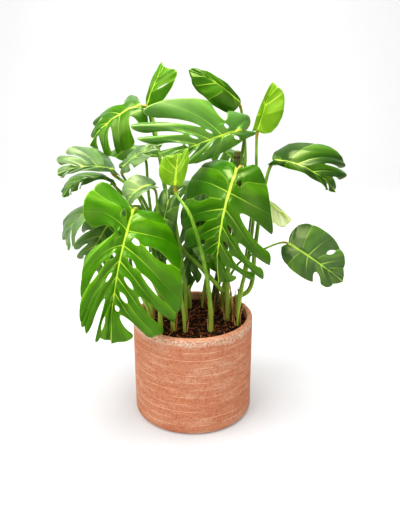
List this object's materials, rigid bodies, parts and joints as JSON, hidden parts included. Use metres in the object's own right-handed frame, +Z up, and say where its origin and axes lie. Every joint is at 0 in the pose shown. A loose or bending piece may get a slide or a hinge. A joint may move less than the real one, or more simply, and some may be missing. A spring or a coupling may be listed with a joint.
{
  "type": "potted monstera plant",
  "caption": "Leafy monstera with split and pierced leaves on long stalks, standing in the soil of a straight-sided terracotta pot.",
  "frame": {"origin": "centre of the pot's flat underside", "axes": "+Z up along the pot's axis, the front of the plant faces -Y, +X to the right seen from the front"},
  "size_m": [0.5505, 0.4141, 0.686],
  "materials": {
    "terracotta": "matte",
    "soil": "matte",
    "leaf": "satin",
    "young_leaf": "satin",
    "cane": "matte",
    "husk": "matte"
  },
  "bodies": {
    "root": {"pot": "terracotta", "soil": "soil", "cane_right": "cane", "cane_left": "cane", "air_root": "husk", "dry_sheath": "husk", "frond_front_left": "leaf", "frond_front_middle": "leaf", "frond_top_middle": "leaf", "frond_top_left": "leaf", "frond_top_small": "leaf", "frond_top_curled": "young_leaf", "frond_young_cupped": "young_leaf", "frond_right_high": "leaf", "frond_right_low": "leaf", "frond_left_high": "leaf", "frond_left_under": "leaf", "frond_left_strap": "leaf", "frond_left_inner": "leaf", "frond_left_far": "leaf", "frond_left_low": "leaf", "frond_middle_shaded": "leaf", "frond_young_pale": "young_leaf", "frond_right_underside": "young_leaf", "frond_middle_low": "leaf", "frond_back_left": "leaf", "frond_back_right": "leaf", "frond_back_middle": "leaf"}
  },
  "joints": []
}
